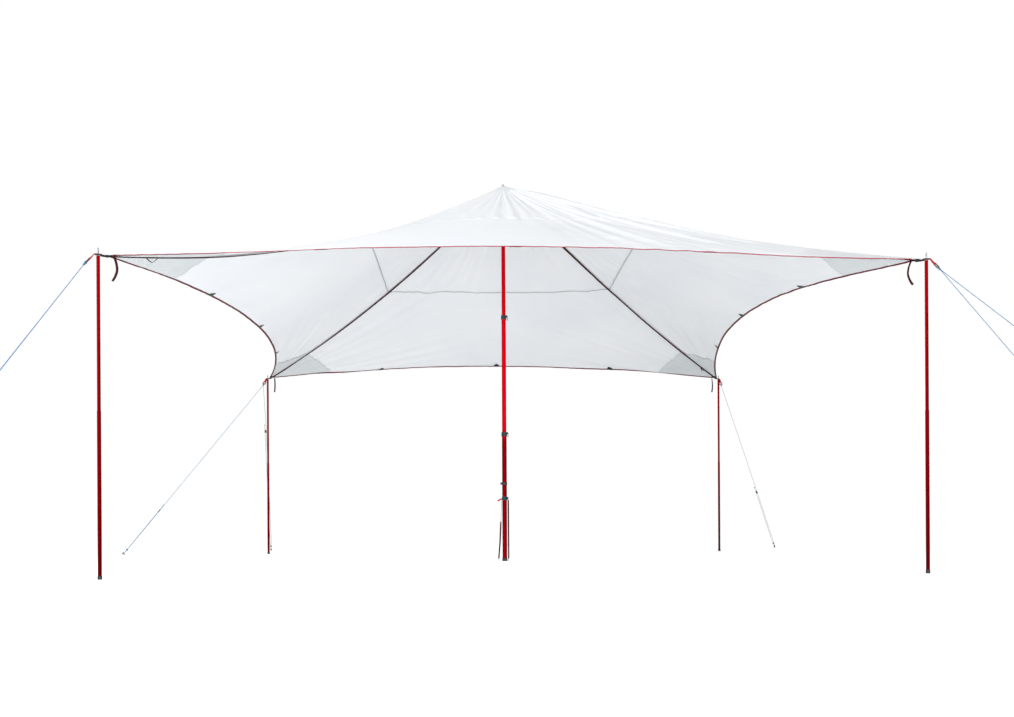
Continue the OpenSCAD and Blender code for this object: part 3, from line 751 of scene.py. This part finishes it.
def build_ridge_tapes():
    steps = 110
    half = TAPE_W / 2
    for name, (sx, sy) in CORNERS.items():
        rings = []
        for i in range(steps + 1):
            s = 0.040 + (FAB - 0.030 - 0.040) * i / steps
            wander = 0.0015 * noise.noise(Vector((s * 3, sx, sy)))
            across = Vector((sy, -sx, 0)).normalized()
            centre = Vector((sx * s, sy * s, 0)) + across * wander
            top = []
            for k in (-half, -half * 0.5, 0.0, half * 0.5, half):
                q = centre + across * k
                top.append(hang(q.x, q.y, 0.0075))
            down = Vector((0, 0, 0.0012))
            rings.append(top + [p - down for p in reversed(top)])
        parts = Parts()
        sweep(parts, rings)
        obj = parts.build("ridge_tape_" + name, "tape_maroon")
        replaces = ["ridge_tapes"] if name == "front_left" else []
        finish_piece(obj, "canopy", replaces)
        weld(obj, EXACT)


def build_bindings():
    """Folded tape round each hem: the outline opens inwards over the fabric's edge."""
    steps = 220
    w = BINDING_W
    profile = [
        (-w, 0.0007), (-w + 0.0008, 0.0016), (0.0, 0.0018), (0.0022, 0.0012), (0.0028, 0.0),
        (0.0022, -0.0012), (0.0, -0.0018), (-w + 0.0008, -0.0016), (-w, -0.0007),
        (-w + 0.0006, -0.0006), (0.0004, -0.0006), (0.0008, 0.0), (0.0004, 0.0006),
        (-w + 0.0006, 0.0006),
    ]
    for side, side_name in enumerate(SIDES):
        path, outs = [], []
        for i in range(steps + 1):
            v = 0.978 * (2 * i / steps - 1)
            p = surface(1.0, v, side)
            path.append(p)
            outs.append(p - surface(0.99, v, side))
        rings = []
        for i, p in enumerate(path):
            t = tangent(path, i)
            out = (outs[i] - outs[i].dot(t) * t).normalized()
            high = t.cross(out).normalized()
            if high.z < 0:
                high = -high
            rings.append([p + a * out + b * high for a, b in profile])
        parts = Parts()
        sweep(parts, rings)
        obj = parts.build("hem_binding_" + side_name, "binding_red")
        weld(obj, EXACT)
        replaces = ["hem_bindings"] if side == 0 else []
        finish_piece(obj, "canopy", replaces)


TAB_CLOTH_T = 0.0012
BINDING_DROP = 0.0026  # clears the binding


def build_edge_tabs():
    """Triangles with a blunt tip, three on each hem."""
    half_w, tip_w, depth = 0.042, 0.006, 0.042
    rows, cols = 6, 12
    first = True
    for side, side_name in enumerate(SIDES):
        for place, v0 in (("left", -0.5), ("mid", 0.0), ("right", 0.5)):
            parts = Parts()
            verts, uvs = [], []
            for i in range(rows + 1):
                a = i / rows
                wide = half_w * (1 - a) + tip_w * a
                for j in range(cols + 1):
                    b = 2 * j / cols - 1
                    v = v0 + b * wide / FAB
                    back = 0.0015 + depth * a
                    u = 1 - back / hem_reach(v)
                    p = surface(u, v, side)
                    bow = 0.0012 * (1 - b * b)
                    verts.append(p - Vector((0, 0, BINDING_DROP + bow)))
                    uvs.append((b * wide, back))
            parts.add(verts, grid_faces(rows, cols), uvs)
            obj = parts.build(f"edge_tab_{side_name}_{place}", "tab_olive")
            weld(obj, EXACT)
            thicken(obj, TAB_CLOTH_T)
            finish_piece(obj, "canopy", ["edge_tabs"] if first else [])
            first = False


def build_peak_patch():
    turns, rings = 72, 14
    inner_r, outer_r = 0.0175, 0.128
    parts = Parts()
    verts, uvs = [], []
    for i in range(rings + 1):
        r = inner_r + (outer_r - inner_r) * i / rings
        for k in range(turns):
            a = 2 * math.pi * k / turns
            x, y = r * math.cos(a), r * math.sin(a)
            verts.append(hang(x, y, -0.0022))
            uvs.append((x, y))
    faces = [
        (i * turns + k, i * turns + (k + 1) % turns,
         (i + 1) * turns + (k + 1) % turns, (i + 1) * turns + k)
        for i in range(rings) for k in range(turns)
    ]
    parts.add(verts, faces, uvs)
    obj = parts.build("peak_patch_cloth", "canopy_cloth")
    thicken(obj, PEAK_PATCH_T)
    finish_piece(obj, "canopy", ["peak_patch"])


# ---------------------------------------------------------------- corner webbing

TAB_Z = 1.828
TAB_T = 0.0025
STRAP_SLOPE = math.radians(50)
BEND_X = 0.020
STRAP_RUN = 0.044
LOCK_L = 0.026
KNOT_RUN = LOCK_L + 0.013  # beyond the loop of cord in the ladder lock
STRAP_Z = TAB_Z + TAB_T + 0.0025  # middle of the strap over the tab


def corner_point(name):
    sx, sy = CORNERS[name]
    return Vector((sx * POLE_AT, sy * POLE_AT, 0))


GUYS = {
    "front_left_side": "front_left",
    "front_left_front": "front_left",
    "front_right_side": "front_right",
    "front_right_front": "front_right",
    "back_right": "back_right",
    "back_left_side": "back_left",
    "back_left_back": "back_left",
}


def joint(name):
    return next(j for j in frame["record"]["behaviour"]["joints"] if j["name"] == name)


def guy_line(guy):
    """Unit direction of a guyline, down towards its stake."""
    return Vector(joint("tensioner_slide_" + guy)["axis"]).normalized()


def stake_line(guy):
    """Unit direction of a stake, up out of the ground."""
    return Vector(joint("stake_pull_" + guy)["axis"]).normalized()


def pull_direction(name):
    """Level direction in which a corner's guylines pull together."""
    total = Vector((0, 0, 0))
    for guy, corner in GUYS.items():
        if corner == name:
            axis = stake_line(guy)
            total += Vector((axis.x, axis.y, 0)).normalized()
    return total.normalized()


def on_slope(name, run):
    """Point on the line down which a corner strap leaves its pole."""
    pull = pull_direction(name)
    level = corner_point(name) + pull * (BEND_X + run * math.cos(STRAP_SLOPE))
    return level + Vector((0, 0, STRAP_Z - run * math.sin(STRAP_SLOPE)))


def arc_points(centre, start, axis, angle, steps):
    return [
        centre + Matrix.Rotation(angle * k / steps, 3, axis) @ start for k in range(steps + 1)
    ]


TAB_L = 0.064
TAB_R = 0.0175


def build_corner_web(name, sx, sy):
    """Triangle of webbing under the tip of the fabric."""
    steps = 10
    reach, inset = 0.078, 0.003
    v = 1 - reach / FAB
    hem = hem_reach(v) - inset
    tip = Vector((sx, sy, 0)) * (FAB - inset)
    along_x = Vector((sx * v * FAB, sy * hem, 0))
    along_y = Vector((sx * hem, sy * v * FAB, 0))
    verts, uvs = [], []
    for i in range(steps + 1):
        a = 0.02 + 0.98 * i / steps
        for j in range(steps + 1):
            b = j / steps
            q = tip + a * ((1 - b) * (along_x - tip) + b * (along_y - tip))
            verts.append(hang(q.x, q.y, 0.0024))
            uvs.append((a * reach, (b - 0.5) * 0.06))
    parts = Parts()
    parts.add(verts, grid_faces(steps, steps), uvs)
    obj = parts.build("corner_web_" + name, "webbing_black")
    thicken(obj, 0.0014)
    finish_piece(obj, "canopy")


def build_corners():
    first = True
    for name, (sx, sy) in CORNERS.items():
        foot = corner_point(name)
        pull = pull_direction(name)
        cross = Vector((-pull.y, pull.x, 0))
        inward = Vector((-sx, -sy, 0)).normalized()
        side = Vector((-inward.y, inward.x, 0))

        # black corner tab: a ring round the grommet that widens into the sewn tab
        parts = Parts()
        turns = 40
        hole = 0.0079
        outer, inner = [], []
        for k in range(turns):
            a = 2 * math.pi * (k + 0.5) / turns
            d = math.cos(a) * inward + math.sin(a) * side
            reach = TAB_R
            if math.cos(a) > 0:
                reach = min(TAB_L / max(math.cos(a), 1e-6), TAB_R / max(abs(math.sin(a)), 1e-6))
            outer.append(foot + d * reach + Vector((0, 0, TAB_Z)))
            inner.append(foot + d * hole + Vector((0, 0, TAB_Z)))
        verts, faces, uvs = [], [], []
        loops = [inner, [(a + b) / 2 for a, b in zip(inner, outer)], outer]
        for thick in (0.0, TAB_T):
            for ring in loops:
                for p in ring:
                    verts.append(p + Vector((0, 0, thick)))
                    uvs.append(((p - foot).dot(inward), (p - foot).dot(side)))
        layer = 3 * turns
        for k in range(turns):
            m = (k + 1) % turns
            for r in range(2):
                a, b = r * turns, (r + 1) * turns
                faces.append((a + k, b + k, b + m, a + m))
                faces.append((layer + a + m, layer + b + m, layer + b + k, layer + a + k))
            faces.append((k, m, layer + m, layer + k))
            faces.append((2 * turns + m, 2 * turns + k, layer + 2 * turns + k, layer + 2 * turns + m))
        parts.add(verts, faces, uvs)
        obj = parts.build("corner_tab_" + name, "webbing_black", shade=False)
        finish_piece(obj, "canopy", ["corner_tabs"] if first else [])
        build_corner_web(name, sx, sy)

        # red strap: sewn over the tab, bent down to the ladder lock and back on itself
        parts = Parts()
        flat = [foot + pull * x + Vector((0, 0, STRAP_Z)) for x in (-0.020, -0.014, -0.009)]
        ribbon(parts, flat, Vector((0, 0, 1)), 0.025, 0.0018)
        for hand in (-1, 1):
            beside = [
                foot + pull * x + cross * hand * 0.0094 + Vector((0, 0, STRAP_Z))
                for x in (-0.0095, 0.0, 0.0095)
            ]
            ribbon(parts, beside, Vector((0, 0, 1)), 0.0062, 0.0018)
        bar = on_slope(name, STRAP_RUN)
        down = on_slope(name, 1.0) - on_slope(name, 0.0)
        high = cross.cross(down).normalized()
        if high.z < 0:
            high = -high
        path = [foot + pull * x + Vector((0, 0, STRAP_Z)) for x in (0.009, 0.013)]
        path += [on_slope(name, r) for r in (0.001, 0.004, 0.012, 0.024)]
        path += [on_slope(name, r) + high * h for r, h in ((0.034, 0.0006), (0.039, 0.0026))]
        axis = cross if (Matrix.Rotation(0.5, 3, cross) @ high).dot(down) > 0 else -cross
        path += arc_points(bar, high * 0.0036, axis, math.radians(185), 10)
        path += [on_slope(name, r) - high * h for r, h in ((0.036, 0.0028), (0.026, 0.0022), (0.016, 0.0021))]
        ups = []
        for i in range(len(path)):
            normal = tangent(path, i).cross(cross)
            ups.append(normal if normal.length else high)
        ribbon(parts, path, ups, 0.0246, 0.0017)
        obj = parts.build("corner_strap_" + name, "webbing_red")
        finish_piece(obj, "canopy", ["corner_straps"] if first else [])
        first = False


# how far each loose end bows to the right
TAIL_CURLS = {"front_left": 0.020, "front_right": -0.022, "back_right": 0.005, "back_left": 0.004}


def build_tails():
    """Loose ends that hang at the corners, and two small loops."""
    first = True
    for name, (sx, sy) in CORNERS.items():
        parts = Parts()
        top = Vector((sx * (POLE_AT - 0.076), sy * (POLE_AT - 0.022), TAB_Z - 0.001))
        curl = TAIL_CURLS[name]
        path = spline([
            top + Vector((0, 0, 0.006)),
            top + Vector((curl * 0.7, sy * -0.002, -0.030)),
            top + Vector((curl, sy * -0.004, -0.075)),
            top + Vector((curl * 0.5, sy * -0.003, -0.112)),
            top + Vector((curl * -0.3, sy * -0.002, -0.140)),
        ], 9)
        twist = [
            Matrix.Rotation(0.7 - 0.9 * i / len(path), 3, "Z") @ Vector((0, 1, 0))
            for i in range(len(path))
        ]
        ribbon(parts, path, twist, 0.014, 0.0016)
        obj = parts.build("webbing_tail_" + name, "tape_maroon")
        finish_piece(obj, "canopy", ["webbing_tails"] if first else [])
        first = False
    for name in ("front_left", "back_right"):
        sx, sy = CORNERS[name]
        parts = Parts()
        at = Vector((sx * (POLE_AT - 0.230), sy * (POLE_AT - 0.230), 0))
        top = hang(at.x, at.y, 0.0052)
        along = Vector((sx, sy, 0)).normalized()
        ends = [hang(at.x + along.x * k, at.y + along.y * k, 0.0050) for k in (-0.040, 0.040)]
        path = spline([
            ends[0], ends[0] + along * 0.014 + Vector((0, 0, -0.015)),
            top + Vector((0, 0, -0.031)), ends[1] - along * 0.014 + Vector((0, 0, -0.015)),
            ends[1],
        ], 8)
        across = Vector((-along.y, along.x, 0))
        ups = [tangent(path, i).cross(across) for i in range(len(path))]
        ribbon(parts, path, ups, 0.012, 0.0014)
        obj = parts.build("hanging_loop_" + name, "tape_maroon")
        finish_piece(obj, "canopy")


# ---------------------------------------------------------------- guylines

CORD_R = 0.0020
STRAND_GAP = 0.014
TAIL_L = 0.060
LOOP_H = 0.018


def build_guylines():
    first = True
    knots = {name: on_slope(name, STRAP_RUN + KNOT_RUN) for name in CORNERS}
    for guy, corner in GUYS.items():
        axis = stake_line(guy)
        line = guy_line(guy)
        side = Vector((-line.y, line.x, 0)).normalized() * STRAND_GAP / 2
        grip = box_centre("tensioner_" + guy)
        ground = stake_ground(guy)
        end = grip + line * (ground + axis * LOOP_H - grip).dot(line)
        upper = grip - line * (TAIL_L + 0.015)
        knot = knots[corner]
        first_leg = [knot + (upper - side - knot) * (k / 12) for k in range(13)]
        turn = []
        centre = end + line * 0.001
        for k in range(13):
            a = math.pi * k / 12
            turn.append(centre - side * math.cos(a) + line * (STRAND_GAP / 2) * math.sin(a))
        strand = [upper - side + (end - upper) * (k / 24) for k in range(1, 25)]
        path = first_leg + strand + turn
        path += [end + side + (upper - end) * (k / 24) for k in range(25)]
        parts = Parts()
        cord(parts, path, CORD_R, 8)
        # a wrapped knot above the stake's loop and a stopper knot on the tail
        wrap(parts, end - line * 0.05, line, STRAND_GAP / 2 + 0.0012, 0.012, 5)
        wrap(parts, upper + side - line * 0.001, line, 0.0028, 0.008, 4)
        colour = "cord_sage" if guy in ("back_left_back", "back_right") else "cord_blue"
        obj = parts.build("guyline_" + guy, colour)
        finish_piece(obj, "canopy", ["guylines"] if first else [])
        first = False
    for name, centre in knots.items():
        parts = Parts()
        ring_at = on_slope(name, STRAP_RUN + LOCK_L)
        pull = pull_direction(name)
        cross = Vector((-pull.y, pull.x, 0))
        down = (on_slope(name, 1.0) - on_slope(name, 0.0)).normalized()
        for shift in (-0.002, 0.002):
            loop = [
                ring_at + cross * shift
                + Matrix.Rotation(2 * math.pi * k / 24, 3, cross) @ (down * 0.006)
                for k in range(24)
            ]
            cord(parts, loop, CORD_R, 8, up=cross, loop=True)
        wrap(parts, centre, down, 0.0042, 0.011, 5)
        wrap(parts, centre + down * 0.001, (down + cross * 0.8).normalized(), 0.0040, 0.008, 3)
        obj = parts.build("guyline_knot_" + name, "cord_blue")
        finish_piece(obj, "canopy")


def stake_ground(guy):
    """Where a stake goes into the ground, found from its lowest point and its axis."""
    axis = stake_line(guy)
    low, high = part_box("stake_" + guy)
    tip = Vector((
        high.x if axis.x < 0 else low.x,
        high.y if axis.y < 0 else low.y,
        low.z,
    ))
    if abs(axis.x) < 1e-3:
        tip.x = (low.x + high.x) / 2
    if abs(axis.y) < 1e-3:
        tip.y = (low.y + high.y) / 2
    return tip - axis * (low.z / axis.z)


def wrap(parts, centre, axis, radius, length, turns):
    """Cord wound round a line: a whipped knot."""
    a = axis.orthogonal().normalized()
    b = axis.cross(a)
    steps = 14 * turns
    path = []
    for k in range(steps + 1):
        angle = 2 * math.pi * turns * k / steps
        around = radius * (math.cos(angle) * a + math.sin(angle) * b)
        path.append(centre + axis * length * (k / steps - 0.5) + around)
    cord(parts, path, CORD_R * 0.95, 6, up=axis)


# ---------------------------------------------------------------- tether


def build_tether():
    """Cord and webbing that hold the centre pole's foot to two pegs."""
    band = box_centre("tether_band")
    pegs_low, pegs_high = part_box("tether_pegs")
    peg_r, ring_z = 0.0048, 0.022
    left = Vector((pegs_low.x + peg_r, pegs_low.y + peg_r, ring_z))
    right = Vector((pegs_high.x - peg_r, pegs_high.y - peg_r, ring_z))
    front = Vector((0, 1, 0))
    parts = Parts()
    joint_at = Vector((-0.032, -0.017, 0.300))
    cord(parts, spline([
        band + Vector((-0.0235, 0, 0.004)), band + Vector((-0.0270, -0.004, -0.08)), joint_at,
    ], 10), 0.0021)
    finish_piece(parts.build("tether_cord", "cord_beige"), "centre_lower")

    parts = Parts()
    eye = Vector((0, -0.0072, 0.0022))
    ribbon(parts, spline([
        joint_at + Vector((0, 0, 0.02)), (joint_at + left) / 2 + Vector((0.002, 0.001, 0)),
        left + eye,
    ], 12), front, 0.012, 0.0018)
    ribbon(parts, spline([
        band + Vector((0.0295, -0.001, -0.014)), band + Vector((0.0302, -0.001, -0.2)), right + eye,
    ], 14), front, 0.012, 0.0018)
    obj = parts.build("tether_legs", "tape_maroon")
    finish_piece(obj, "centre_lower", ["tether_straps"])

    parts = Parts()
    for at in (left, right):
        ring = [
            at + Vector((math.cos(a), math.sin(a), 0)) * 0.007
            for a in (2 * math.pi * k / 28 for k in range(28))
        ]
        cord(parts, ring, 0.0014, 8, loop=True)
    finish_piece(parts.build("tether_rings", "steel"), "centre_lower")

    parts = Parts()
    start = band + Vector((-0.0225, -0.002, -0.006))
    ribbon(parts, spline([
        start, start + Vector((-0.014, 0, -0.003)), start + Vector((-0.034, 0.002, -0.016)),
    ], 8), Vector((0, 1, 0.5)), 0.012, 0.0016)
    finish_piece(parts.build("tether_band_tail", "webbing_red"), "centre_lower")


# ---------------------------------------------------------------- stage


# the side of the studio that the soft light comes from, and its darkest and brightest parts
SKY_FROM = (-0.30, -0.75, 0.59)
SKY_DARK = 0.20
SKY_BRIGHT = 0.77


def build_stage():
    floor = new_object(
        "floor",
        [(-60, -60, 0), (60, -60, 0), (60, 60, 0), (-60, 60, 0)],
        [(0, 1, 2, 3)],
    )
    m = Nodes("floor_pale")
    m.set(color=(0.92, 0.92, 0.92), rough=0.9, specular=0.1)
    m.bsdf.inputs["Emission Color"].default_value = (1.0, 1.0, 1.0, 1)
    seen = m.node("ShaderNodeLightPath").outputs["Is Camera Ray"]
    m.plug(m.math("MULTIPLY_ADD", seen, 0.27, 0.25), m.bsdf.inputs["Emission Strength"])
    floor.data.materials.append(m.mat)

    # white to the eye; as a light it is brightest at the front, above and to the left
    world = bpy.data.worlds.new("studio")
    world.use_nodes = True
    tree = world.node_tree
    seen = tree.nodes.new("ShaderNodeLightPath")
    mix = tree.nodes.new("ShaderNodeMix")
    mix.data_type = "RGBA"
    facing = tree.nodes.new("ShaderNodeVectorMath")
    facing.operation = "DOT_PRODUCT"
    facing.inputs[1].default_value = SKY_FROM
    tree.links.new(tree.nodes.new("ShaderNodeTexCoord").outputs["Generated"], facing.inputs[0])
    level = tree.nodes.new("ShaderNodeMapRange")
    level.inputs[1].default_value = -0.5
    level.inputs[3].default_value = SKY_DARK
    level.inputs[4].default_value = SKY_BRIGHT
    tree.links.new(facing.outputs["Value"], level.inputs[0])
    tree.links.new(level.outputs[0], mix.inputs[6])
    mix.inputs[7].default_value = (1.0, 1.0, 1.0, 1)
    tree.links.new(seen.outputs["Is Camera Ray"], mix.inputs[0])
    tree.links.new(mix.outputs[2], tree.nodes["Background"].inputs[0])
    bpy.context.scene.world = world

    def area(name, place, target, size, power):
        light = bpy.data.lights.new(name, "AREA")
        light.size = size
        light.energy = power
        obj = bpy.data.objects.new(name, light)
        obj.location = place
        obj.rotation_euler = (Vector(target) - Vector(place)).to_track_quat("-Z", "Y").to_euler()
        bpy.context.scene.collection.objects.link(obj)

    area("key", (-6.5, -7.5, 5.5), (0, 0, 2.4), 0.9, 620)
    area("fill", (0.5, -9.5, 1.2), (0, 2, 2.3), 3.0, 310)
    bpy.context.scene.view_settings.view_transform = "Standard"


CAMERA_AT = Vector((-0.312, -8.023, 0.302))
CAMERA_YAW = math.radians(2.359)
CAMERA_ROLL = math.radians(0.312)
CAMERA_LENS = 35.05
HORIZON_SHIFT = 0.1631


def build_camera():
    """Camera near the ground with a raised view. The shift is dropped when it orbits."""
    data = bpy.data.cameras.new("camera")
    data.lens = CAMERA_LENS
    data.sensor_width = 36
    data.clip_end = 200
    cam = bpy.data.objects.new("camera", data)
    cam.location = CAMERA_AT
    level = Matrix.Rotation(-CAMERA_YAW, 3, "Z") @ Matrix.Rotation(math.radians(90), 3, "X")
    cam.rotation_euler = (level @ Matrix.Rotation(-CAMERA_ROLL, 3, "Z")).to_euler()
    bpy.context.scene.collection.objects.link(cam)
    bpy.context.scene.camera = cam
    driver = data.driver_add("shift_y").driver
    driver.type = "SCRIPTED"
    place = driver.variables.new()
    place.name = "y"
    place.targets[0].id = cam
    place.targets[0].data_path = "location[1]"
    low, high = CAMERA_AT.y - 0.001, CAMERA_AT.y + 0.001
    driver.expression = f"{HORIZON_SHIFT} if y > {low:.4f} and y < {high:.4f} else 0.0"


dress_cad_nodes()
build_canopy()
build_seams()
build_patches()
build_ridge_tapes()
build_bindings()
build_edge_tabs()
build_peak_patch()
build_corners()
build_tails()
build_guylines()
build_tether()
build_stage()
build_camera()
